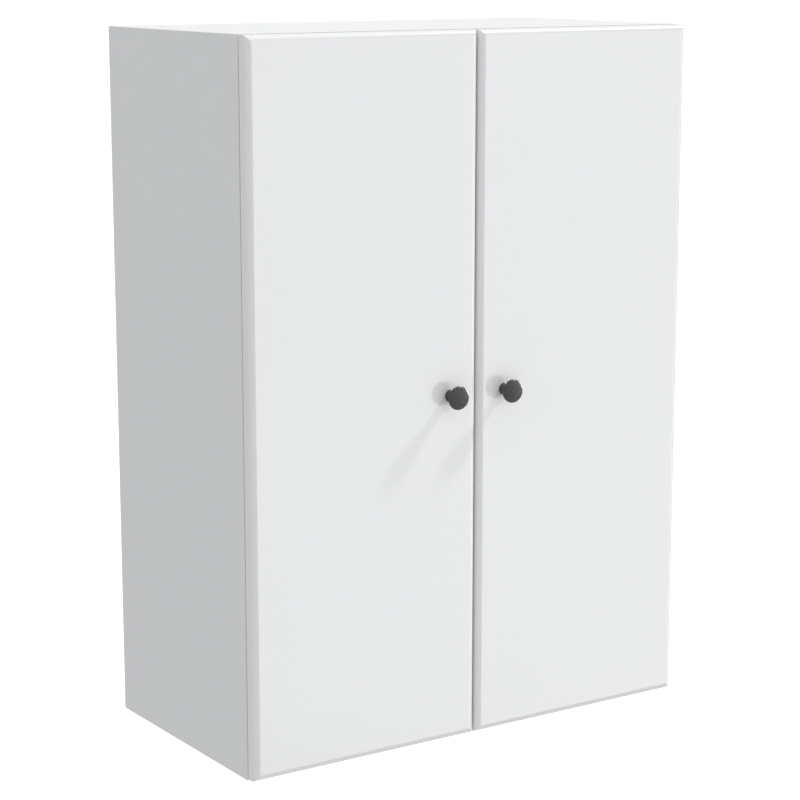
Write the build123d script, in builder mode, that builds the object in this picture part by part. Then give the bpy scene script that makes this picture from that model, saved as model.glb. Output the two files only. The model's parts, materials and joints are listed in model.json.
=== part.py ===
from build123d import *
import os

os.makedirs("parts", exist_ok=True)

# Lengths are in mm. The origin is on the wall, at the centre of the wall rail's two screw holes.
# +Z is up, the doors face -Y and +X is to the right of someone facing the cabinet.

# Carcass
cabinet_width = 720
cabinet_height = 988
carcass_depth = 360
board = 18
inner_half_width = cabinet_width / 2 - board
edge_break = 0.6

# Heights are given from the cabinet's underside and placed through height().
rail_height = 938

# Back panel, in a groove behind which the rail and the hooks have their room
back_thickness = 3
back_groove_depth = 8
back_groove_width = 3.3
back_groove_start = 16
back_panel_into_groove = 7.5
back_panel_y = -back_groove_start - back_groove_width / 2

# Shelves
shelf_clearance = 1
shelf_depth = 318
shelf_rear = 22
shelf_count = 2
shelf_gap = (cabinet_height - (shelf_count + 2) * board) / (shelf_count + 1)
lower_shelf_height = board + shelf_gap
upper_shelf_height = lower_shelf_height + board + shelf_gap
shelf_heights = {"lower": lower_shelf_height, "upper": upper_shelf_height}
pin_front_row = 330
pin_rear_row = 60
pin_rows = (pin_front_row, pin_rear_row)
pin_pitch = 32
pin_steps = (-2, -1, 0, 1, 2)
pin_radius = 2.5
pin_hole_radius = 2.55
pin_hole_depth = 12
pin_in_board = 10
pin_seat_radius = 3.5
pin_seat_length = 8
pin_collar_radius = 4.5
pin_collar_length = 1

# Doors
door_thickness = 18
door_standoff = 2
centre_gap = 3.5
door_width = (cabinet_width - centre_gap) / 2
door_bottom_reveal = 2.5
door_top_reveal = 0.5
door_height = cabinet_height - door_bottom_reveal - door_top_reveal
door_front_round = 9
door_back_round = 1
door_back_depth = carcass_depth + door_standoff
door_front_depth = door_back_depth + door_thickness

# Door buffers, near the free edge at the top and the bottom
buffer_radius = 4
buffer_thickness = 1.7
buffer_round = 0.8
buffer_from_free_edge = 22
buffer_height_low = 9
buffer_heights = (buffer_height_low, cabinet_height - buffer_height_low)

# Knobs
knob_from_centre = 45.5
knob_height = 494.5
knob_base_radius = 8.8
knob_base_length = 1.8
knob_waist_radius = 6.4
knob_waist_at = 7
knob_flare_radius = 9
knob_flare_at = 12
knob_cone_radius = 15.7
knob_cone_at = 17.9
knob_head_radius = 16.5
knob_rim_at = 19.9
knob_face_radius = 14
knob_face_at = 22.85
knob_length = 24
knob_screw_radius = 2
knob_screw_hole_radius = 2.3
knob_thread_hole_radius = 2.05
knob_screw_in_knob = 9
knob_thread_hole_depth = 11
knob_screw_head_radius = 4.2
knob_screw_head_length = 2.2

# Concealed hinges. "inward" is measured from the cabinet's outer side face and "forward" from the
# carcass's front edge, both in plan.
hinge_heights = {"lower": 90, "middle": 494, "upper": 898}
cup_inward = 22
cup_radius = 17.5
cup_bore_radius = 17.6
cup_depth = 12.5
cup_bore_depth = 13
cup_inner_radius = 17
cup_inner_depth = 11.7
rim_radius = 19
rim_thickness = 1
rim_fit = 0.15
wing_inward = 29
wing_width = 14
wing_height = 58
wing_round = 4
cup_screw_inward = 31.5
cup_screw_half_spacing = 22.5
cup_screw_hole_radius = 2.2
cup_screw_radius = 1.9
cup_screw_length = 12
cup_pilot_radius = 1.95
cup_pilot_length = 13

arm_pivot_inward = 8.8
arm_pivot_forward = 11.5
cup_pivot_inward = 34.5
cup_pivot_forward = 6
arm_pin_radius = 1.25
arm_pin_half_length = 6.6
cup_pin_radius = 1.5
cup_pin_half_length = 10.4
running_fit = 0.05
pin_fit = 0.02
cup_boss_start = 7
cup_boss_end = 12.5
cup_boss_width = 6
link_eye_radius = 2
link_barrel_radius = 3
link_ear_inside = 4.4
link_ear_outside = 6.2

arm_half_height = 8
arm_inner_half_height = 6.8
arm_inward = 20.6
arm_top_inward = 32
arm_web = 1.6
arm_rear = -56
arm_front = -1.5
arm_front_web = 3
arm_neck_half_height = 4
arm_eye_radius = 2
arm_room_overshoot = 1

# The neck joins the arm's channel to its pivot eye. Seen in plan it is a crank: a strip from the eye
# inward, a bend, and a strip rearward that spreads into the channel's front wall.
neck_crown_inward = 19
neck_crown_forward = 13.4
neck_bend_inward = 22
neck_bend_forward = 10.5
neck_front_inward = 22.5
neck_front_forward = 1
neck_root_inward = 30
neck_root_front = -4
neck_root_rear = -7
neck_heel_inward = 21
neck_foot_inward = 19
neck_throat_inward = 18.8
neck_hollow_inward = 16.8
neck_hollow_rear = 3.5
neck_hollow_front = 8.5
neck_lip_inward = 14.8
neck_lip_forward = 10.2
neck_eye_trim = 0.4
neck_plan = (
    (arm_pivot_inward, arm_pivot_forward + arm_eye_radius),
    (neck_crown_inward, neck_crown_forward),
    (neck_bend_inward, neck_bend_forward),
    (neck_front_inward, neck_front_forward),
    (neck_root_inward, neck_root_front),
    (neck_root_inward, neck_root_rear),
    (neck_heel_inward, neck_root_rear),
    (neck_foot_inward, neck_root_front),
    (neck_throat_inward, neck_front_forward),
    (neck_hollow_inward, neck_hollow_rear),
    (neck_hollow_inward, neck_hollow_front),
    (neck_lip_inward, neck_lip_forward),
    (arm_pivot_inward, arm_pivot_forward - arm_eye_radius + neck_eye_trim),
)

plate_row = -37
plate_wing_thickness = 2.2
plate_half_height = 26
plate_half_width = 6.5
plate_round = 5
plate_screw_half_spacing = 16
plate_screw_hole_radius = 2.3
plate_screw_radius = 2.2
plate_screw_length = 13
plate_pilot_radius = 2.25
plate_pilot_length = 13.5
plate_rail_rear = -53
plate_rail_front = -19
plate_rail_half_height = 6.4
plate_rail_top_inward = 30

adjuster_rows = (-45, -27)
adjuster_radius = 2
adjuster_hole_radius = 2.05
adjuster_web_hole_radius = 2.3
adjuster_head_radius = 3.2
adjuster_head_length = 1.4
adjuster_in_plate = 7
adjuster_hole_depth = 8

screw_head_radius = 3.4
screw_head_length = 1.6
screw_head_round = 0.5
slot_width = 1
slot_length = 3.8
slot_depth = 0.9

# Carcass fittings in the four corner joints
fitting_rows = (60, 300)
cam_radius = 7.5
cam_bore_radius = 7.6
cam_height = 11
cam_bore_depth = 11.5
cam_from_side = 33.5
cam_bolt_radius = 3
cam_bolt_hole_radius = 3.1
cam_bolt_in_side = 11
cam_bolt_in_cam = 26
cam_bolt_thread_radius = 3.5
cam_bolt_thread_hole_radius = 3.55
cam_bolt_thread_hole_depth = 12
cam_cap_radius = 8.5
cam_cap_thickness = 0.8
cam_hollow_width = 6.8
cam_drive_length = 7.6
dowel_rows = (100, 260)
dowel_radius = 4
dowel_hole_radius = 4.05
dowel_in_side = 12
dowel_in_board = 20
dowel_end_room = 1
dowel_chamfer = 0.8

# Hanging gear
rail_length = 660
rail_thickness = 2
rail_foot_height = 36
rail_step = 7
rail_lip_height = 12.5
rail_hole_half_spacing = 256
rail_hole_radius = 3.5
rail_foot_above_holes = 12
hanger_thickness = 17
hanger_rear = 20
hanger_length = 60
hanger_height = 48
hanger_top_room = 3
hanger_wall = 1.6
hanger_round = 3
hook_thickness = 2
hook_inward = 26
hook_half_width = 5
hook_front = 42
hook_height = 12
hook_tip_drop = 9
hook_from_wall = 3
hook_gap_to_lip = 0.2
hook_window_margin = 2
hanger_screw_rows = (33, 66)
hanger_screw_drop = 36
hanger_screw_hole_radius = 2.3
hanger_screw_in_side = 12
hanger_pilot_depth = 12.5
cover_thickness = 1
cover_lap = 0.5
adjust_screw_drop = 11
adjust_screw_front = 79.5
adjust_screw_radius = 3

sides = {"left": -1, "right": 1}


def height(above_underside):
    return above_underside - rail_height


def inward_x(side, inward):
    return side * (cabinet_width / 2 - inward)


def plan_points(side, points):
    """Plan points (inward, forward) of a hinge as x and y, anticlockwise on both sides."""
    placed = [(inward_x(side, inward), -carcass_depth - forward) for inward, forward in points]
    return placed if side > 0 else list(reversed(placed))


def cross_slot(place, length=slot_length):
    """The two crossing bars of a screw's drive, added to the sketch being drawn."""
    with Locations(place):
        Rectangle(length, slot_width)
        Rectangle(slot_width, length)


def save(part, label):
    part.label = label
    export_step(part, "parts/" + label + ".step")


middle_z = height(cabinet_height / 2)
carcass_middle_y = -carcass_depth / 2
inner_height = cabinet_height - 2 * board
groove_height = inner_height + 2 * back_groove_depth
corner_boards = {"top": cabinet_height - board / 2, "bottom": board / 2}
hanger_middle_y = -hanger_rear - hanger_length / 2
hanger_middle_z = height(cabinet_height - board - hanger_top_room - hanger_height / 2)
hanger_screw_z = height(cabinet_height - board - hanger_top_room - hanger_screw_drop)
plate_row_y = -carcass_depth - plate_row
adjust_screw_z = height(cabinet_height - board - hanger_top_room - adjust_screw_drop)
rail_lip_y = -rail_step - rail_thickness / 2
rail_top_z = rail_foot_above_holes + rail_lip_height
hook_top_z = rail_top_z + hook_thickness + hook_gap_to_lip


# Side panels: grooved for the back, drilled for shelf pins, fittings, hinge plates and hangers.
for side_name, side in sides.items():
    inner_x = side * inner_half_width
    with BuildPart() as side_panel:
        with Locations((side * (inner_half_width + board / 2), carcass_middle_y, middle_z)):
            Box(board, carcass_depth, cabinet_height)
        chamfer(side_panel.edges().filter_by(Axis.Z), edge_break)
        with Locations((inner_x, back_panel_y, middle_z)):
            Box(2 * back_groove_depth, back_groove_width, groove_height, mode=Mode.SUBTRACT)
        with BuildSketch(Plane.YZ.offset(inner_x)):
            for shelf_height in shelf_heights.values():
                for pin_row in pin_rows:
                    for pin_step in pin_steps:
                        pin_z = height(shelf_height - pin_seat_radius) + pin_step * pin_pitch
                        with Locations((-pin_row, pin_z)):
                            Circle(pin_hole_radius)
        extrude(amount=side * pin_hole_depth, mode=Mode.SUBTRACT)
        with BuildSketch(Plane.YZ.offset(inner_x)):
            for hinge_height in hinge_heights.values():
                for end in (-1, 1):
                    screw_z = height(hinge_height) + end * plate_screw_half_spacing
                    with Locations((plate_row_y, screw_z)):
                        Circle(plate_pilot_radius)
        extrude(amount=side * plate_pilot_length, mode=Mode.SUBTRACT)
        with BuildSketch(Plane.YZ.offset(inner_x)):
            for board_height in corner_boards.values():
                for row in fitting_rows:
                    with Locations((-row, height(board_height))):
                        Circle(cam_bolt_thread_hole_radius)
        extrude(amount=side * cam_bolt_thread_hole_depth, mode=Mode.SUBTRACT)
        with BuildSketch(Plane.YZ.offset(inner_x)):
            for board_height in corner_boards.values():
                for row in dowel_rows:
                    with Locations((-row, height(board_height))):
                        Circle(dowel_hole_radius)
        extrude(amount=side * (dowel_in_side + dowel_end_room), mode=Mode.SUBTRACT)
        with BuildSketch(Plane.YZ.offset(inner_x)):
            for row in hanger_screw_rows:
                with Locations((-row, hanger_screw_z)):
                    Circle(plate_pilot_radius)
        extrude(amount=side * hanger_pilot_depth, mode=Mode.SUBTRACT)
    save(side_panel.part, "side_panel_" + side_name)


# Top and bottom panels, between the sides. The cams are let in from the face that stays out of sight.
for board_name, board_height in corner_boards.items():
    outward = 1 if board_name == "top" else -1
    inner_face_z = height(board_height) - outward * board / 2
    outer_face_z = height(board_height) + outward * board / 2
    with BuildPart() as board_panel:
        with Locations((0, carcass_middle_y, height(board_height))):
            Box(2 * inner_half_width, carcass_depth, board)
        with Locations((0, back_panel_y, inner_face_z)):
            Box(2 * inner_half_width, back_groove_width, 2 * back_groove_depth, mode=Mode.SUBTRACT)
        with BuildSketch(Plane.XY.offset(outer_face_z)):
            for side in sides.values():
                for row in fitting_rows:
                    with Locations((side * (inner_half_width - cam_from_side), -row)):
                        Circle(cam_bore_radius)
        extrude(amount=-outward * (cam_bore_depth + cam_cap_thickness), mode=Mode.SUBTRACT)
        with BuildSketch(Plane.XY.offset(outer_face_z)):
            for side in sides.values():
                for row in fitting_rows:
                    with Locations((side * (inner_half_width - cam_from_side), -row)):
                        Circle(cam_cap_radius + running_fit)
        extrude(amount=-outward * cam_cap_thickness, mode=Mode.SUBTRACT)
        for side in sides.values():
            with BuildSketch(Plane.YZ.offset(side * inner_half_width)):
                for row in fitting_rows:
                    with Locations((-row, height(board_height))):
                        Circle(cam_bolt_hole_radius)
            extrude(amount=-side * cam_from_side, mode=Mode.SUBTRACT)
            with BuildSketch(Plane.YZ.offset(side * inner_half_width)):
                for row in dowel_rows:
                    with Locations((-row, height(board_height))):
                        Circle(dowel_hole_radius)
            extrude(amount=-side * (dowel_in_board + dowel_end_room), mode=Mode.SUBTRACT)
    save(board_panel.part, board_name + "_panel")


# Back panel, let into the grooves, with a window for each hanger hook.
with BuildPart() as back_panel:
    with Locations((0, back_panel_y, middle_z)):
        Box(
            2 * (inner_half_width + back_panel_into_groove),
            back_thickness,
            inner_height + 2 * back_panel_into_groove,
        )
    for side in sides.values():
        with Locations((inward_x(side, hook_inward), back_panel_y, hook_top_z - hook_height / 2)):
            Box(
                2 * (hook_half_width + hook_window_margin),
                2 * back_thickness,
                hook_height + 2 * hook_window_margin,
                mode=Mode.SUBTRACT,
            )
save(back_panel.part, "back_panel")


# Two adjustable shelves, each on four pins.
for shelf_name, shelf_height in shelf_heights.items():
    with BuildPart() as shelf:
        with Locations((0, -shelf_rear - shelf_depth / 2, height(shelf_height) + board / 2)):
            Box(2 * (inner_half_width - shelf_clearance), shelf_depth, board)
        chamfer(shelf.edges().filter_by(Axis.X), edge_break)
    save(shelf.part, "shelf_" + shelf_name)

    with BuildPart() as shelf_pins:
        for side in sides.values():
            for pin_row in pin_rows:
                pin_z = height(shelf_height - pin_seat_radius)
                pin_plane = Plane.YZ.offset(side * inner_half_width)
                with BuildSketch(pin_plane):
                    with Locations((-pin_row, pin_z)):
                        Circle(pin_radius)
                extrude(amount=side * pin_in_board)
                with BuildSketch(pin_plane):
                    with Locations((-pin_row, pin_z)):
                        Circle(pin_seat_radius)
                extrude(amount=-side * pin_seat_length)
                with BuildSketch(pin_plane):
                    with Locations((-pin_row, pin_z)):
                        Circle(pin_collar_radius)
                    with Locations((-pin_row, pin_z + pin_seat_radius + pin_collar_radius)):
                        Rectangle(2 * pin_collar_radius, 2 * pin_collar_radius, mode=Mode.SUBTRACT)
                extrude(amount=-side * pin_collar_length)
    save(shelf_pins.part, "shelf_pins_" + shelf_name)


# Doors: slabs with a broad rounding round the front, bored for hinge cups and the knob screw.
for side_name, side in sides.items():
    door_x = side * (centre_gap / 2 + door_width / 2)
    cup_screw_x = inward_x(side, cup_screw_inward)
    with BuildPart() as door:
        with BuildSketch(Plane.XZ.offset(door_back_depth)):
            with Locations((door_x, height(door_bottom_reveal + door_height / 2))):
                Rectangle(door_width, door_height)
        extrude(amount=door_thickness)
        fillet(door.faces().sort_by(Axis.Y)[0].edges(), door_front_round)
        fillet(door.faces().sort_by(Axis.Y)[-1].edges(), door_back_round)
        for hinge_height in hinge_heights.values():
            hinge_z = height(hinge_height)
            with BuildSketch(Plane.XZ.offset(door_back_depth)):
                with Locations((inward_x(side, cup_inward), hinge_z)):
                    Circle(cup_bore_radius)
            extrude(amount=cup_bore_depth, mode=Mode.SUBTRACT)
            with BuildSketch(Plane.XZ.offset(door_back_depth)):
                with Locations((inward_x(side, cup_inward), hinge_z)):
                    Circle(rim_radius + rim_fit)
                with Locations((inward_x(side, wing_inward), hinge_z)):
                    RectangleRounded(wing_width + 2 * rim_fit, wing_height + 2 * rim_fit, wing_round)
            extrude(amount=rim_thickness, mode=Mode.SUBTRACT)
            with BuildSketch(Plane.XZ.offset(door_back_depth)):
                for end in (-1, 1):
                    with Locations((cup_screw_x, hinge_z + end * cup_screw_half_spacing)):
                        Circle(cup_pilot_radius)
            extrude(amount=cup_pilot_length, mode=Mode.SUBTRACT)
        with BuildSketch(Plane.XZ.offset(door_back_depth)):
            with Locations((side * knob_from_centre, height(knob_height))):
                Circle(knob_screw_hole_radius)
        extrude(amount=door_thickness, mode=Mode.SUBTRACT)
    save(door.part, "door_" + side_name)

    with BuildPart() as buffers:
        for buffer_height in buffer_heights:
            with BuildSketch(Plane.XZ.offset(door_back_depth)):
                with Locations((side * (centre_gap / 2 + buffer_from_free_edge), height(buffer_height))):
                    Circle(buffer_radius)
            extrude(amount=-buffer_thickness)
        rear_edges = buffers.edges().group_by(Axis.Y)[-1]
        fillet(rear_edges, buffer_round)
    save(buffers.part, "door_buffers_" + side_name)


# Knobs: a turned foot, a waist and a flared head, each on one machine screw from inside the door.
def knob_point(knob_x, radius, out):
    return (knob_x + radius, -door_front_depth - out)


for side_name, side in sides.items():
    knob_x = side * knob_from_centre
    knob_z = height(knob_height)
    foot = knob_point(knob_x, knob_base_radius, 0)
    foot_top = knob_point(knob_x, knob_base_radius, knob_base_length)
    waist = knob_point(knob_x, knob_waist_radius, knob_waist_at)
    flare = knob_point(knob_x, knob_flare_radius, knob_flare_at)
    cone = knob_point(knob_x, knob_cone_radius, knob_cone_at)
    rim = knob_point(knob_x, knob_head_radius, knob_rim_at)
    face = knob_point(knob_x, knob_face_radius, knob_face_at)
    tip = knob_point(knob_x, 0, knob_length)
    seat = knob_point(knob_x, 0, 0)
    with BuildPart() as knob:
        with BuildSketch(Plane.XY.offset(knob_z)):
            with BuildLine():
                Polyline(seat, foot, foot_top)
                Spline(foot_top, waist, flare, cone)
                ThreePointArc(cone, rim, face)
                TangentArc(tip, face, tangent=(1, 0))
                Line(tip, seat)
            make_face()
        revolve(axis=Axis((knob_x, 0, knob_z), (0, 1, 0)))
        with BuildSketch(Plane.XZ.offset(door_front_depth)):
            with Locations((knob_x, knob_z)):
                Circle(knob_thread_hole_radius)
        extrude(amount=knob_thread_hole_depth, mode=Mode.SUBTRACT)
    save(knob.part, "knob_" + side_name)

    with BuildPart() as knob_screw:
        with BuildSketch(Plane.XZ.offset(door_back_depth)):
            with Locations((knob_x, knob_z)):
                Circle(knob_screw_radius)
        extrude(amount=door_thickness + knob_screw_in_knob)
        with BuildSketch(Plane.XZ.offset(door_back_depth)):
            with Locations((knob_x, knob_z)):
                Circle(knob_screw_head_radius)
        extrude(amount=-knob_screw_head_length)
        fillet(knob_screw.edges().group_by(Axis.Y)[-1], screw_head_round)
        with BuildSketch(Plane.XZ.offset(door_back_depth - knob_screw_head_length)):
            cross_slot((knob_x, knob_z))
        extrude(amount=slot_depth, mode=Mode.SUBTRACT)
    save(knob_screw.part, "knob_screw_" + side_name)


# Concealed hinges, three to a door: cup in the door, arm and plate on the side panel, link between.
for side_name, side in sides.items():
    for hinge_name, hinge_height in hinge_heights.items():
        hinge_z = height(hinge_height)
        pivot = (inward_x(side, cup_pivot_inward), -carcass_depth - cup_pivot_forward)
        cup_screw_x = inward_x(side, cup_screw_inward)
        with BuildPart() as hinge_cup:
            with BuildSketch(Plane.XZ.offset(door_back_depth)):
                with Locations((inward_x(side, cup_inward), hinge_z)):
                    Circle(rim_radius)
                with Locations((inward_x(side, wing_inward), hinge_z)):
                    RectangleRounded(wing_width, wing_height, wing_round)
            extrude(amount=rim_thickness)
            with BuildSketch(Plane.XZ.offset(door_back_depth)):
                with Locations((inward_x(side, cup_inward), hinge_z)):
                    Circle(cup_radius)
            extrude(amount=cup_depth)
            with BuildSketch(Plane.XZ.offset(door_back_depth)):
                with Locations((inward_x(side, cup_inward), hinge_z)):
                    Circle(cup_inner_radius)
                for end in (-1, 1):
                    boss_z = hinge_z + end * (cup_boss_start + cup_boss_end) / 2
                    with Locations((pivot[0], boss_z)):
                        Rectangle(cup_boss_width, cup_boss_end - cup_boss_start, mode=Mode.SUBTRACT)
            extrude(amount=cup_inner_depth, mode=Mode.SUBTRACT)
            with BuildSketch(Plane.XY.offset(hinge_z - cup_pin_half_length)):
                with Locations(pivot):
                    Circle(cup_pin_radius + pin_fit)
            extrude(amount=2 * cup_pin_half_length, mode=Mode.SUBTRACT)
            with BuildSketch(Plane.XZ.offset(door_back_depth)):
                for end in (-1, 1):
                    with Locations((cup_screw_x, hinge_z + end * cup_screw_half_spacing)):
                        Circle(cup_screw_hole_radius)
            extrude(amount=rim_thickness, mode=Mode.SUBTRACT)
        save(hinge_cup.part, "hinge_cup_" + side_name + "_" + hinge_name)

        arm_pivot = (inward_x(side, arm_pivot_inward), -carcass_depth - arm_pivot_forward)
        channel = (
            (arm_inward, arm_rear),
            (arm_top_inward, arm_rear),
            (arm_top_inward, arm_front),
            (arm_inward, arm_front),
        )
        channel_inside_top = arm_top_inward - arm_web
        channel_inside_front = arm_front - arm_front_web
        room = (
            (arm_inward - arm_room_overshoot, arm_rear - arm_room_overshoot),
            (channel_inside_top, arm_rear - arm_room_overshoot),
            (channel_inside_top, channel_inside_front),
            (arm_inward - arm_room_overshoot, channel_inside_front),
        )
        with BuildPart() as hinge_arm:
            with BuildSketch(Plane.XY.offset(hinge_z - arm_half_height)):
                Polygon(*plan_points(side, channel), align=None)
            extrude(amount=2 * arm_half_height)
            with BuildSketch(Plane.XY.offset(hinge_z - arm_inner_half_height)):
                Polygon(*plan_points(side, room), align=None)
            extrude(amount=2 * arm_inner_half_height, mode=Mode.SUBTRACT)
            with BuildSketch(Plane.XY.offset(hinge_z - arm_neck_half_height)):
                Polygon(*plan_points(side, neck_plan), align=None)
                with Locations(arm_pivot):
                    Circle(arm_eye_radius)
            extrude(amount=2 * arm_neck_half_height)
            with BuildSketch(Plane.XY.offset(hinge_z - arm_neck_half_height)):
                with Locations(arm_pivot):
                    Circle(arm_pin_radius + pin_fit)
            extrude(amount=2 * arm_neck_half_height, mode=Mode.SUBTRACT)
            with BuildSketch(Plane.YZ.offset(inward_x(side, arm_top_inward))):
                for row in adjuster_rows:
                    with Locations((-carcass_depth - row, hinge_z)):
                        Circle(adjuster_web_hole_radius)
            extrude(amount=side * arm_web, mode=Mode.SUBTRACT)
        save(hinge_arm.part, "hinge_arm_" + side_name + "_" + hinge_name)

        with BuildPart() as hinge_plate:
            with BuildSketch(Plane.YZ.offset(side * inner_half_width)):
                with Locations((plate_row_y, hinge_z)):
                    RectangleRounded(2 * plate_half_width, 2 * plate_half_height, plate_round)
            extrude(amount=-side * plate_wing_thickness)
            rail_middle = -carcass_depth - (plate_rail_rear + plate_rail_front) / 2
            with BuildSketch(Plane.YZ.offset(side * inner_half_width)):
                with Locations((rail_middle, hinge_z)):
                    Rectangle(plate_rail_front - plate_rail_rear, 2 * plate_rail_half_height)
            extrude(amount=-side * (plate_rail_top_inward - board))
            with BuildSketch(Plane.YZ.offset(inward_x(side, plate_rail_top_inward))):
                for row in adjuster_rows:
                    with Locations((-carcass_depth - row, hinge_z)):
                        Circle(adjuster_hole_radius)
            extrude(amount=side * adjuster_hole_depth, mode=Mode.SUBTRACT)
            with BuildSketch(Plane.YZ.offset(side * inner_half_width)):
                for end in (-1, 1):
                    with Locations((plate_row_y, hinge_z + end * plate_screw_half_spacing)):
                        Circle(plate_screw_hole_radius)
            extrude(amount=-side * plate_wing_thickness, mode=Mode.SUBTRACT)
        save(hinge_plate.part, "hinge_plate_" + side_name + "_" + hinge_name)


# The three links of a door's hinges turn together about the arms' pins and carry the cups' pins.
for side_name, side in sides.items():
    arm_pivot = (inward_x(side, arm_pivot_inward), -carcass_depth - arm_pivot_forward)
    cup_pivot = (inward_x(side, cup_pivot_inward), -carcass_depth - cup_pivot_forward)
    with BuildPart() as hinge_links:
        for hinge_height in hinge_heights.values():
            hinge_z = height(hinge_height)
            for ear_bottom in (-link_ear_outside, link_ear_inside):
                with BuildSketch(Plane.XY.offset(hinge_z + ear_bottom)):
                    with Locations(arm_pivot):
                        Circle(link_eye_radius)
                    with Locations(cup_pivot):
                        Circle(link_barrel_radius)
                    make_hull()
                extrude(amount=link_ear_outside - link_ear_inside)
            with BuildSketch(Plane.XY.offset(hinge_z - link_ear_outside)):
                with Locations(cup_pivot):
                    Circle(link_barrel_radius)
            extrude(amount=2 * link_ear_outside)
            with BuildSketch(Plane.XY.offset(hinge_z - link_ear_outside)):
                with Locations(arm_pivot):
                    Circle(arm_pin_radius + running_fit)
                with Locations(cup_pivot):
                    Circle(cup_pin_radius + running_fit)
            extrude(amount=2 * link_ear_outside, mode=Mode.SUBTRACT)
    save(hinge_links.part, "hinge_links_" + side_name)

    with BuildPart() as arm_pins:
        for hinge_height in hinge_heights.values():
            with BuildSketch(Plane.XY.offset(height(hinge_height) - arm_pin_half_length)):
                with Locations(arm_pivot):
                    Circle(arm_pin_radius)
            extrude(amount=2 * arm_pin_half_length)
    save(arm_pins.part, "hinge_arm_pins_" + side_name)

    with BuildPart() as cup_pins:
        for hinge_height in hinge_heights.values():
            with BuildSketch(Plane.XY.offset(height(hinge_height) - cup_pin_half_length)):
                with Locations(cup_pivot):
                    Circle(cup_pin_radius)
            extrude(amount=2 * cup_pin_half_length)
    save(cup_pins.part, "hinge_cup_pins_" + side_name)


# Hinge screws: in the cups' wings, in the plates' wings, and the arms' two adjusting screws.
for side_name, side in sides.items():
    cup_screw_x = inward_x(side, cup_screw_inward)
    with BuildPart() as cup_screws:
        for hinge_height in hinge_heights.values():
            for end in (-1, 1):
                place = (cup_screw_x, height(hinge_height) + end * cup_screw_half_spacing)
                with BuildSketch(Plane.XZ.offset(door_back_depth)):
                    with Locations(place):
                        Circle(cup_screw_radius)
                extrude(amount=cup_screw_length)
                with BuildSketch(Plane.XZ.offset(door_back_depth - screw_head_length)):
                    with Locations(place):
                        Circle(screw_head_radius)
                extrude(amount=screw_head_length)
        for hinge_height in hinge_heights.values():
            for end in (-1, 1):
                place = (cup_screw_x, height(hinge_height) + end * cup_screw_half_spacing)
                with BuildSketch(Plane.XZ.offset(door_back_depth - screw_head_length)):
                    cross_slot(place)
                extrude(amount=slot_depth, mode=Mode.SUBTRACT)
    save(cup_screws.part, "hinge_cup_screws_" + side_name)

    adjuster_face_x = inward_x(side, arm_top_inward)
    adjuster_head_x = inward_x(side, arm_top_inward + adjuster_head_length)
    adjuster_shank = arm_top_inward - plate_rail_top_inward + adjuster_in_plate
    with BuildPart() as adjusters:
        for hinge_height in hinge_heights.values():
            for row in adjuster_rows:
                place = (-carcass_depth - row, height(hinge_height))
                with BuildSketch(Plane.YZ.offset(adjuster_face_x)):
                    with Locations(place):
                        Circle(adjuster_radius)
                extrude(amount=side * adjuster_shank)
                with BuildSketch(Plane.YZ.offset(adjuster_face_x)):
                    with Locations(place):
                        Circle(adjuster_head_radius)
                extrude(amount=-side * adjuster_head_length)
                with BuildSketch(Plane.YZ.offset(adjuster_head_x)):
                    cross_slot(place)
                extrude(amount=side * slot_depth, mode=Mode.SUBTRACT)
    save(adjusters.part, "hinge_adjusting_screws_" + side_name)


with BuildPart() as plate_screws:
    for side in sides.values():
        plate_face_x = inward_x(side, board + plate_wing_thickness)
        plate_head_x = inward_x(side, board + plate_wing_thickness + screw_head_length)
        for hinge_height in hinge_heights.values():
            for end in (-1, 1):
                place = (plate_row_y, height(hinge_height) + end * plate_screw_half_spacing)
                with BuildSketch(Plane.YZ.offset(plate_face_x)):
                    with Locations(place):
                        Circle(plate_screw_radius)
                extrude(amount=side * plate_screw_length)
                with BuildSketch(Plane.YZ.offset(plate_face_x)):
                    with Locations(place):
                        Circle(screw_head_radius)
                extrude(amount=-side * screw_head_length)
                with BuildSketch(Plane.YZ.offset(plate_head_x)):
                    cross_slot(place)
                extrude(amount=side * slot_depth, mode=Mode.SUBTRACT)
save(plate_screws.part, "hinge_plate_screws")


# Corner fittings: cams in the boards, bolts and dowels across the joint, caps over the cams.
with BuildPart() as cam_locks:
    for board_name, board_height in corner_boards.items():
        outward = 1 if board_name == "top" else -1
        cam_face_z = height(board_height) + outward * (board / 2 - cam_cap_thickness)
        for side in sides.values():
            for row in fitting_rows:
                place = (side * (inner_half_width - cam_from_side), -row)
                with BuildSketch(Plane.XY.offset(cam_face_z)):
                    with Locations(place):
                        Circle(cam_radius)
                extrude(amount=-outward * cam_height)
                with BuildSketch(Plane.XY.offset(cam_face_z)):
                    cross_slot(place, cam_drive_length)
                extrude(amount=-outward * slot_depth, mode=Mode.SUBTRACT)
                hollow_length = cam_radius + cam_from_side - cam_bolt_in_cam
                hollow_x = side * (inner_half_width - cam_bolt_in_cam)
                with Locations((hollow_x, -row, height(board_height))):
                    Box(hollow_length, cam_hollow_width, cam_hollow_width, mode=Mode.SUBTRACT)
save(cam_locks.part, "cam_locks")

with BuildPart() as cam_bolts:
    for board_height in corner_boards.values():
        for side in sides.values():
            for row in fitting_rows:
                with BuildSketch(Plane.YZ.offset(side * inner_half_width)):
                    with Locations((-row, height(board_height))):
                        Circle(cam_bolt_thread_radius)
                extrude(amount=side * cam_bolt_in_side)
                with BuildSketch(Plane.YZ.offset(side * inner_half_width)):
                    with Locations((-row, height(board_height))):
                        Circle(cam_bolt_radius)
                extrude(amount=-side * cam_bolt_in_cam)
save(cam_bolts.part, "cam_bolts")

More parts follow.
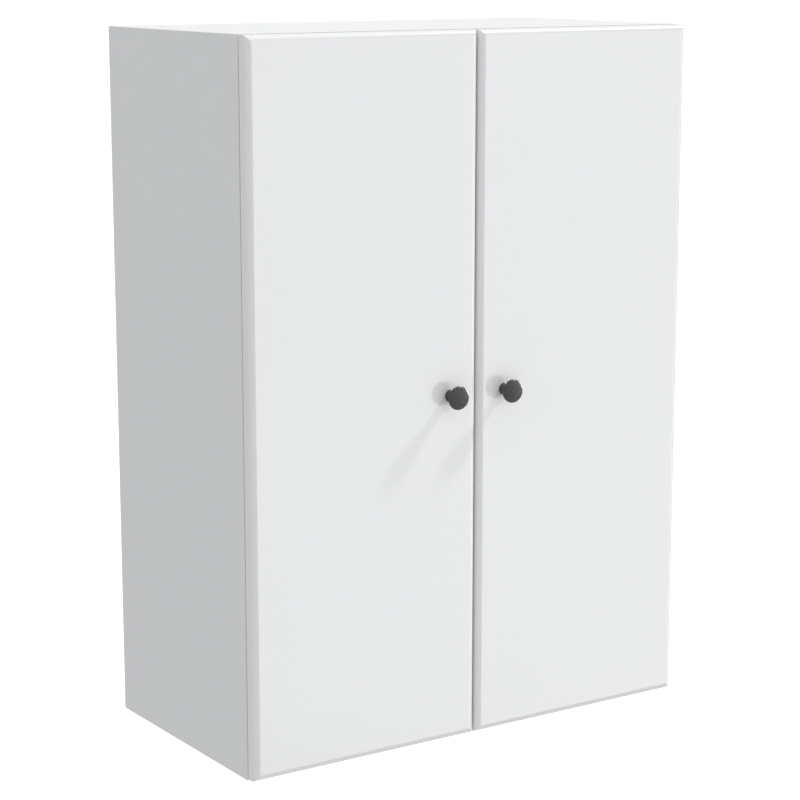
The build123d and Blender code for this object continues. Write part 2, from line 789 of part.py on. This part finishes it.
with BuildPart() as cam_caps:
    for board_name, board_height in corner_boards.items():
        outward = 1 if board_name == "top" else -1
        cap_face_z = height(board_height) + outward * board / 2
        for side in sides.values():
            for row in fitting_rows:
                with BuildSketch(Plane.XY.offset(cap_face_z)):
                    with Locations((side * (inner_half_width - cam_from_side), -row)):
                        Circle(cam_cap_radius)
                extrude(amount=-outward * cam_cap_thickness)
save(cam_caps.part, "cam_caps")

with BuildPart() as dowels:
    for board_height in corner_boards.values():
        for side in sides.values():
            for row in dowel_rows:
                with BuildSketch(Plane.YZ.offset(side * (inner_half_width + dowel_in_side))):
                    with Locations((-row, height(board_height))):
                        Circle(dowel_radius)
                extrude(amount=-side * (dowel_in_side + dowel_in_board))
    chamfer(dowels.edges().filter_by(GeomType.CIRCLE), dowel_chamfer)
save(dowels.part, "wood_dowels")


# Wall rail: a folded strip screwed to the wall, whose raised lip the cabinet's hooks hang over.
rail_foot_middle_z = rail_foot_above_holes - rail_foot_height / 2
rail_lip_bottom = rail_foot_above_holes - rail_thickness
rail_lip_middle_z = (rail_lip_bottom + rail_top_z) / 2
with BuildPart() as wall_rail:
    with Locations((0, -rail_thickness / 2, rail_foot_middle_z)):
        Box(rail_length, rail_thickness, rail_foot_height)
    with Locations((0, -(rail_step + rail_thickness) / 2, rail_foot_above_holes - rail_thickness / 2)):
        Box(rail_length, rail_step + rail_thickness, rail_thickness)
    with Locations((0, rail_lip_y, rail_lip_middle_z)):
        Box(rail_length, rail_thickness, rail_lip_height + rail_thickness)
    with BuildSketch(Plane.XZ):
        for end in (-1, 1):
            with Locations((end * rail_hole_half_spacing, 0)):
                Circle(rail_hole_radius)
    extrude(amount=rail_thickness, mode=Mode.SUBTRACT)
save(wall_rail.part, "wall_rail")


# Hangers in the upper rear corners: a housing on the side panel, a hook over the rail, a cover.
for side_name, side in sides.items():
    housing_x = side * (inner_half_width - hanger_thickness / 2)
    inside_x = side * (inner_half_width - hanger_thickness)
    hook_x = inward_x(side, hook_inward)
    with BuildPart() as housing:
        with BuildSketch(Plane.YZ.offset(side * inner_half_width)):
            with Locations((hanger_middle_y, hanger_middle_z)):
                RectangleRounded(hanger_length, hanger_height, hanger_round)
        extrude(amount=-side * hanger_thickness)
        with BuildSketch(Plane.YZ.offset(inside_x)):
            with Locations((hanger_middle_y, hanger_middle_z)):
                RectangleRounded(
                    hanger_length - 2 * hanger_wall,
                    hanger_height - 2 * hanger_wall,
                    hanger_round - hanger_wall,
                )
        extrude(amount=side * (hanger_thickness - hanger_wall), mode=Mode.SUBTRACT)
        with Locations((hook_x, -hanger_rear, hook_top_z - hook_height / 2)):
            Box(
                2 * (hook_half_width + edge_break),
                2 * hanger_wall + edge_break,
                hook_height + 2 * edge_break,
                mode=Mode.SUBTRACT,
            )
        with BuildSketch(Plane.XZ.offset(hanger_rear + hanger_length)):
            with Locations((hook_x, adjust_screw_z)):
                Circle(adjust_screw_radius + running_fit)
        extrude(amount=-hanger_wall, mode=Mode.SUBTRACT)
        with BuildSketch(Plane.YZ.offset(side * inner_half_width)):
            for row in hanger_screw_rows:
                with Locations((-row, hanger_screw_z)):
                    Circle(hanger_screw_hole_radius)
        extrude(amount=-side * hanger_wall, mode=Mode.SUBTRACT)
    save(housing.part, "hanger_housing_" + side_name)

    with BuildPart() as hook:
        with Locations((hook_x, -(hook_from_wall + hook_front) / 2, hook_top_z - hook_thickness / 2)):
            Box(2 * hook_half_width, hook_front - hook_from_wall, hook_thickness)
        with Locations((hook_x, -hook_from_wall - hook_thickness / 2, hook_top_z - hook_tip_drop / 2)):
            Box(2 * hook_half_width, hook_thickness, hook_tip_drop)
        hook_shank_rear = hanger_rear + hanger_wall + edge_break
        with Locations((hook_x, -(hook_shank_rear + hook_front) / 2, hook_top_z - hook_height / 2)):
            Box(2 * hook_half_width, hook_front - hook_shank_rear, hook_height)
    save(hook.part, "hanger_hook_" + side_name)

    with BuildPart() as cover:
        with BuildSketch(Plane.YZ.offset(inside_x)):
            with Locations((hanger_middle_y, hanger_middle_z)):
                RectangleRounded(
                    hanger_length + 2 * cover_lap,
                    hanger_height + 2 * cover_lap,
                    hanger_round + cover_lap,
                )
        extrude(amount=-side * cover_thickness)
    save(cover.part, "hanger_cover_" + side_name)


with BuildPart() as adjust_screws:
    for side in sides.values():
        place = (inward_x(side, hook_inward), adjust_screw_z)
        with BuildSketch(Plane.XZ.offset(hook_front)):
            with Locations(place):
                Circle(adjust_screw_radius)
        extrude(amount=adjust_screw_front - hook_front)
        with BuildSketch(Plane.XZ.offset(adjust_screw_front)):
            cross_slot(place)
        extrude(amount=-slot_depth, mode=Mode.SUBTRACT)
save(adjust_screws.part, "hanger_adjusting_screws")

with BuildPart() as hanger_screws:
    for side in sides.values():
        head_face_x = side * (inner_half_width - hanger_wall)
        for row in hanger_screw_rows:
            with BuildSketch(Plane.YZ.offset(head_face_x)):
                with Locations((-row, hanger_screw_z)):
                    Circle(plate_screw_radius)
            extrude(amount=side * (hanger_wall + hanger_screw_in_side))
            with BuildSketch(Plane.YZ.offset(head_face_x)):
                with Locations((-row, hanger_screw_z)):
                    Circle(screw_head_radius)
            extrude(amount=-side * screw_head_length)
save(hanger_screws.part, "hanger_screws")
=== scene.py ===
import bpy
import json
import math
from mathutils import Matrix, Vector


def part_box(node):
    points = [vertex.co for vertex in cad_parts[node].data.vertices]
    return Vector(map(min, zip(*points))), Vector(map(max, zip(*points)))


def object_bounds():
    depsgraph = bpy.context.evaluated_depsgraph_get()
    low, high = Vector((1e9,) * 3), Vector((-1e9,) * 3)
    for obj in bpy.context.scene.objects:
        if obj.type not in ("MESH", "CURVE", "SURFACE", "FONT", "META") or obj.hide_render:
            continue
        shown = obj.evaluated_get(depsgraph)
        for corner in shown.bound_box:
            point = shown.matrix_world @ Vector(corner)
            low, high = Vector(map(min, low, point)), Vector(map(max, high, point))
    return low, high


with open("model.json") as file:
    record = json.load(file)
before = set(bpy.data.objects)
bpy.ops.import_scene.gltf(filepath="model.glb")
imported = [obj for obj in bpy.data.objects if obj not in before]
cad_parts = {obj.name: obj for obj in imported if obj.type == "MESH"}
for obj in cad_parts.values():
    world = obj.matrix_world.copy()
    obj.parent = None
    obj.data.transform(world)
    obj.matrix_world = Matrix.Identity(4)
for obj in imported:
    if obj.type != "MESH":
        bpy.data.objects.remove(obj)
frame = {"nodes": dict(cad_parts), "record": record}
cad_low, cad_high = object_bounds()
nodes = frame["nodes"]
scene = bpy.context.scene
scene.view_settings.view_transform = "Standard"


# Node-tree helpers -------------------------------------------------------------------------------

class Surface:
    """A Principled material under construction, textured in the object's own coordinates."""

    def __init__(self, name, **sockets):
        self.material = bpy.data.materials.new(name)
        self.material.use_nodes = True
        self.tree = self.material.node_tree
        self.shader = self.tree.nodes["Principled BSDF"]
        self.position = self.tree.nodes.new("ShaderNodeTexCoord").outputs["Object"]
        for socket, value in sockets.items():
            self.shader.inputs[socket.replace("_", " ")].default_value = value

    def link(self, source, target):
        self.tree.links.new(source, target)

    def stretched(self, scale):
        """The object's coordinates with each axis scaled."""
        node = self.tree.nodes.new("ShaderNodeMapping")
        node.inputs["Scale"].default_value = scale
        self.link(self.position, node.inputs["Vector"])
        return node.outputs["Vector"]

    def noise(self, scale, detail=2.0, roughness=0.5, distortion=0.0, vector=None):
        node = self.tree.nodes.new("ShaderNodeTexNoise")
        node.inputs["Scale"].default_value = scale
        node.inputs["Detail"].default_value = detail
        node.inputs["Roughness"].default_value = roughness
        node.inputs["Distortion"].default_value = distortion
        self.link(vector or self.position, node.inputs["Vector"])
        return node.outputs["Fac"]

    def cells(self, scale):
        """A random colour in each cell of a Voronoi texture."""
        node = self.tree.nodes.new("ShaderNodeTexVoronoi")
        node.inputs["Scale"].default_value = scale
        self.link(self.position, node.inputs["Vector"])
        return node.outputs["Color"]

    def remap(self, value, span, target):
        """Maps the span of a value onto the target, both (first, last)."""
        node = self.tree.nodes.new("ShaderNodeMapRange")
        sockets = ("From Min", "From Max", "To Min", "To Max")
        for socket, number in zip(sockets, (*span, *target)):
            node.inputs[socket].default_value = number
        self.link(value, node.inputs["Value"])
        return node.outputs["Result"]

    def math(self, operation, first, second):
        node = self.tree.nodes.new("ShaderNodeMath")
        node.operation = operation
        for socket, value in zip(node.inputs, (first, second)):
            if isinstance(value, (int, float)):
                socket.default_value = value
            else:
                self.link(value, socket)
        return node.outputs["Value"]

    def mix(self, factor, first, second):
        node = self.tree.nodes.new("ShaderNodeMix")
        node.data_type = "RGBA"
        self.link(factor, node.inputs["Factor"])
        for socket, colour in ((node.inputs["A"], first), (node.inputs["B"], second)):
            if isinstance(colour, (tuple, list)):
                socket.default_value = (*colour, 1.0)
            else:
                self.link(colour, socket)
        return node.outputs["Result"]

    def axis(self, letter):
        """The place along one of the object's axes, in metres."""
        node = self.tree.nodes.new("ShaderNodeSeparateXYZ")
        self.link(self.position, node.inputs["Vector"])
        return node.outputs[letter]

    def facing(self, letter):
        """The surface normal's part along one of the axes."""
        geometry = self.tree.nodes.new("ShaderNodeNewGeometry")
        node = self.tree.nodes.new("ShaderNodeSeparateXYZ")
        self.link(geometry.outputs["True Normal"], node.inputs["Vector"])
        return node.outputs[letter]

    def colour(self, source):
        self.link(source, self.shader.inputs["Base Color"])

    def rough(self, source):
        self.link(source, self.shader.inputs["Roughness"])

    def bump(self, height, distance):
        node = self.tree.nodes.new("ShaderNodeBump")
        node.inputs["Strength"].default_value = 1.0
        node.inputs["Distance"].default_value = distance
        self.link(height, node.inputs["Height"])
        self.link(node.outputs["Normal"], self.shader.inputs["Normal"])


# Materials ---------------------------------------------------------------------------------------

NOISE_SPAN = (0.3, 0.7)  # where nearly all of a noise texture's values lie

edge_band = 0.001
edge_band_joint_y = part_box("side_panel_left")[0].y + edge_band
edge_band_joint_edges = (0.00008, 0.00025)
edge_band_joint_strength = 0.45
dust_strength = 0.30


def door_lacquer():
    s = Surface("door_lacquer", Coat_Weight=0.15, Coat_Roughness=0.18)
    cloud = s.noise(2.6, detail=3.0)
    fleck = s.noise(420.0, detail=2.0)
    tint = s.math("ADD", s.math("MULTIPLY", cloud, 0.7), s.math("MULTIPLY", fleck, 0.3))
    s.colour(s.mix(tint, (0.835, 0.845, 0.856), (0.872, 0.880, 0.890)))
    smudge = s.noise(7.0, detail=5.0, roughness=0.6, distortion=0.4)
    s.rough(s.remap(smudge, NOISE_SPAN, (0.15, 0.20)))
    waves = s.math("MULTIPLY", s.noise(90.0, detail=1.0), 0.6)
    peel = s.math("ADD", s.noise(330.0, detail=1.0), waves)
    s.bump(peel, distance=0.00003)
    return s.material


def carcass_melamine():
    s = Surface("carcass_melamine")
    cloud = s.noise(3.0, detail=3.0)
    pearl = s.noise(1500.0, detail=2.0, roughness=0.7)
    tint = s.math("ADD", s.math("MULTIPLY", cloud, 0.5), s.math("MULTIPLY", pearl, 0.5))
    foil = s.mix(tint, (0.800, 0.812, 0.824), (0.850, 0.860, 0.870))
    from_joint = s.math("ABSOLUTE", s.math("SUBTRACT", s.axis("Y"), edge_band_joint_y), 0.0)
    joint = s.remap(from_joint, edge_band_joint_edges, (edge_band_joint_strength, 0.0))
    banded = s.mix(joint, foil, (0.46, 0.45, 0.43))
    lying = s.remap(s.facing("Z"), (0.95, 1.0), (0.0, dust_strength))
    drifts = s.noise(9.0, detail=6.0, roughness=0.7, distortion=0.3)
    dust = s.math("MULTIPLY", lying, s.remap(drifts, (0.40, 0.70), (0.0, 1.0)))
    s.colour(s.mix(dust, banded, (0.74, 0.73, 0.70)))
    handled = s.math("MULTIPLY", s.noise(5.0, detail=5.0, roughness=0.6), 0.06)
    worn = s.math("ADD", s.remap(pearl, NOISE_SPAN, (0.42, 0.52)), handled)
    s.rough(s.math("ADD", worn, dust))
    s.bump(s.math("SUBTRACT", pearl, s.math("MULTIPLY", joint, 2.0)), distance=0.00004)
    return s.material


def back_hardboard():
    s = Surface("back_hardboard")
    fibre = s.noise(260.0, detail=4.0, roughness=0.65, vector=s.stretched((1.0, 1.0, 0.35)))
    white = s.mix(s.noise(700.0, detail=2.0), (0.78, 0.79, 0.79), (0.83, 0.84, 0.84))
    brown = s.mix(fibre, (0.20, 0.115, 0.060), (0.36, 0.225, 0.125))
    rear = s.remap(s.facing("Y"), (0.4, 0.6), (0.0, 1.0))
    s.colour(s.mix(rear, white, brown))
    s.rough(s.remap(fibre, NOISE_SPAN, (0.5, 0.75)))
    s.bump(s.math("MULTIPLY", fibre, rear), distance=0.00025)
    return s.material


def knob_anthracite():
    s = Surface("knob_anthracite", Coat_Weight=0.35, Coat_Roughness=0.12)
    speck = s.noise(900.0, detail=3.0)
    s.colour(s.mix(speck, (0.033, 0.034, 0.035), (0.037, 0.038, 0.039)))
    s.rough(s.remap(s.noise(140.0, detail=2.0), NOISE_SPAN, (0.25, 0.30)))
    s.bump(s.noise(250.0, detail=1.0), distance=0.000008)
    return s.material


def nickel_steel():
    s = Surface("nickel_steel", Metallic=1.0)
    brushed = s.noise(900.0, detail=3.0, roughness=0.6, vector=s.stretched((1.0, 1.0, 0.06)))
    s.colour(s.mix(s.noise(60.0, detail=3.0), (0.56, 0.55, 0.52), (0.72, 0.71, 0.68)))
    s.rough(s.remap(brushed, NOISE_SPAN, (0.22, 0.38)))
    s.bump(brushed, distance=0.00002)
    return s.material


def zinc_screw():
    s = Surface("zinc_screw", Metallic=1.0)
    s.colour(s.mix(s.noise(400.0, detail=3.0), (0.50, 0.52, 0.55), (0.68, 0.68, 0.64)))
    s.rough(s.remap(s.noise(1200.0, detail=2.0), NOISE_SPAN, (0.28, 0.42)))
    s.bump(s.noise(1600.0, detail=2.0), distance=0.00001)
    return s.material


def galvanised_steel():
    s = Surface("galvanised_steel", Metallic=1.0)
    spangle = s.cells(150.0)
    s.colour(s.mix(spangle, (0.46, 0.48, 0.50), (0.66, 0.68, 0.69)))
    s.rough(s.remap(spangle, (0.0, 1.0), (0.32, 0.52)))
    s.bump(s.noise(300.0, detail=3.0), distance=0.00002)
    return s.material


def die_cast_zinc():
    s = Surface("die_cast_zinc", Metallic=0.9)
    grain = s.noise(800.0, detail=4.0, roughness=0.6)
    s.colour(s.mix(grain, (0.42, 0.43, 0.44), (0.58, 0.59, 0.60)))
    s.rough(s.remap(grain, NOISE_SPAN, (0.45, 0.62)))
    s.bump(grain, distance=0.00004)
    return s.material


def white_plastic():
    s = Surface("white_plastic")
    grain = s.noise(2200.0, detail=2.0, roughness=0.6)
    s.colour(s.mix(s.noise(40.0, detail=3.0), (0.78, 0.78, 0.765), (0.84, 0.84, 0.83)))
    s.rough(s.remap(grain, NOISE_SPAN, (0.45, 0.60)))
    s.bump(grain, distance=0.00003)
    return s.material


def clear_buffer():
    s = Surface("clear_buffer", Transmission_Weight=0.55, IOR=1.49)
    s.colour(s.mix(s.noise(500.0, detail=2.0), (0.78, 0.81, 0.83), (0.90, 0.92, 0.93)))
    s.rough(s.remap(s.noise(900.0, detail=2.0), NOISE_SPAN, (0.18, 0.32)))
    s.bump(s.noise(700.0, detail=1.0), distance=0.00002)
    return s.material


def beech():
    s = Surface("beech")
    along = s.stretched((0.08, 1.0, 1.0))
    grain = s.noise(380.0, detail=4.0, roughness=0.6, distortion=0.3, vector=along)
    s.colour(s.mix(grain, (0.52, 0.34, 0.19), (0.74, 0.56, 0.37)))
    s.rough(s.remap(grain, NOISE_SPAN, (0.5, 0.7)))
    s.bump(grain, distance=0.00006)
    return s.material


makers = (
    door_lacquer, carcass_melamine, back_hardboard, knob_anthracite, nickel_steel, zinc_screw,
    galvanised_steel, die_cast_zinc, white_plastic, clear_buffer, beech,
)
materials = {maker.__name__: maker() for maker in makers}
for subpart in frame["record"]["subparts"]:
    mesh = nodes[subpart["node"]].data
    mesh.materials.clear()
    mesh.materials.append(materials[subpart["material_slot"]])


# Floor -------------------------------------------------------------------------------------------

WHITE = (1.0, 1.0, 1.0, 1.0)

floor_drop = 1.4
floor_reach = 40.0
floor_light = 0.10
floor_light_seen = 0.58

floor_z = cad_low.z - floor_drop
signs = ((-1, -1), (1, -1), (1, 1), (-1, 1))
corners = [(x * floor_reach, y * floor_reach, floor_z) for x, y in signs]
floor_mesh = bpy.data.meshes.new("floor")
floor_mesh.from_pydata(corners, [], [(0, 1, 2, 3)])
floor = bpy.data.objects.new("floor", floor_mesh)
scene.collection.objects.link(floor)
floor_paint = Surface("floor_paint", Roughness=0.9, Emission_Color=WHITE)
floor_tint = floor_paint.noise(0.7, detail=2.0)
floor_paint.colour(floor_paint.mix(floor_tint, (0.55, 0.55, 0.55), (0.58, 0.58, 0.58)))
floor_mesh.materials.append(floor_paint.material)


# Light -------------------------------------------------------------------------------------------

sky_light = 0.55
sky_light_seen = 0.55
sky_light_mirrored = 0.25


def strength_by_ray(tree, socket, everywhere, extras):
    """Sets a light's strength, with an extra share for each kind of ray named."""
    ray = tree.nodes.new("ShaderNodeLightPath")
    level = None
    for output, share in extras:
        add = tree.nodes.new("ShaderNodeMath")
        add.operation = "MULTIPLY_ADD"
        tree.links.new(ray.outputs[output], add.inputs[0])
        add.inputs[1].default_value = share
        add.inputs[2].default_value = everywhere
        if level is not None:
            tree.links.new(level, add.inputs[2])
        level = add.outputs["Value"]
    tree.links.new(level, socket)


def aim(obj, direction):
    obj.rotation_mode = "QUATERNION"
    obj.rotation_quaternion = Vector(direction).to_track_quat("-Z", "Y")


def sun(name, travel, power, softness):
    """Adds sunlight that travels the way given; softness is its width in degrees."""
    lamp = bpy.data.lights.new(name, "SUN")
    lamp.energy = power
    lamp.angle = math.radians(softness)
    obj = bpy.data.objects.new(name, lamp)
    aim(obj, travel)
    scene.collection.objects.link(obj)


def softbox(name, place, target, size, power):
    """Adds a rectangular lamp that the camera doesn't see, and returns it."""
    lamp = bpy.data.lights.new(name, "AREA")
    lamp.shape = "RECTANGLE"
    lamp.size, lamp.size_y = size
    lamp.energy = power
    obj = bpy.data.objects.new(name, lamp)
    obj.location = place
    aim(obj, Vector(target) - Vector(place))
    obj.visible_camera = False
    scene.collection.objects.link(obj)
    return obj


def node_group(name, members):
    group = bpy.data.collections.new(name)
    for member in members:
        group.objects.link(nodes[member])
    return group


floor_strength = floor_paint.shader.inputs["Emission Strength"]
floor_rays = [("Is Camera Ray", floor_light_seen)]
strength_by_ray(floor_paint.tree, floor_strength, floor_light, floor_rays)

world = bpy.data.worlds.new("studio")
scene.world = world
world.use_nodes = True
sky = world.node_tree
background = sky.nodes["Background"]
background.inputs["Color"].default_value = WHITE
sky_rays = [("Is Camera Ray", sky_light_seen), ("Is Glossy Ray", sky_light_mirrored)]
strength_by_ray(sky, background.inputs["Strength"], sky_light, sky_rays)

knobs = ("knob_left", "knob_right")
doors = ("door_left", "door_right")
centre = (cad_low + cad_high) / 2
knob_low, knob_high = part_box("knob_right")
knob_centre = (knob_low + knob_high) / 2

sun("key", travel=(-0.66, 0.15, -0.73), power=1.6, softness=5.0)
softbox("top_box", place=(0.0, -0.2, 5.0), target=centre, size=(4.0, 4.0), power=46.0)
front_box = softbox(
    "front_box", place=(0.2, -5.2, 0.0), target=centre, size=(5.0, 4.0), power=28.0
)
front_box.visible_glossy = False

# The doors' faces mirror this box, and the knobs don't stand in its way
sheen_target = (1.085, 0.34, -0.45)
sheen_box = softbox(
    "sheen_box", place=(2.985, -2.52, -0.75), target=sheen_target, size=(4.4, 3.2), power=112.0
)
sheen_box.visible_diffuse = False
all_but_knobs = [name for name in nodes if name not in knobs]
sheen_box.light_linking.receiver_collection = node_group("doors", doors)
sheen_box.light_linking.blocker_collection = node_group("all_but_knobs", all_but_knobs)

# This one lights the knobs alone
knob_strip = softbox(
    "knob_strip", place=(3.3, -1.15, -0.25), target=knob_centre, size=(1.6, 1.2), power=160.0
)
knob_strip.light_linking.receiver_collection = node_group("knobs", knobs)


# Camera ------------------------------------------------------------------------------------------

camera_place = (-1.7927, -2.8807, 0.1584)
camera_pitch_down = 11.27
camera_heading = 33.65
level_tilt = 90.0
lens_mm = 102.47
sensor_mm = 36.0

camera_data = bpy.data.cameras.new("camera")
camera_data.lens = lens_mm
camera_data.sensor_width = sensor_mm
camera = bpy.data.objects.new("camera", camera_data)
camera.location = camera_place
camera_tilt = level_tilt - camera_pitch_down
camera.rotation_euler = (math.radians(camera_tilt), 0.0, math.radians(-camera_heading))
scene.collection.objects.link(camera)
scene.camera = camera
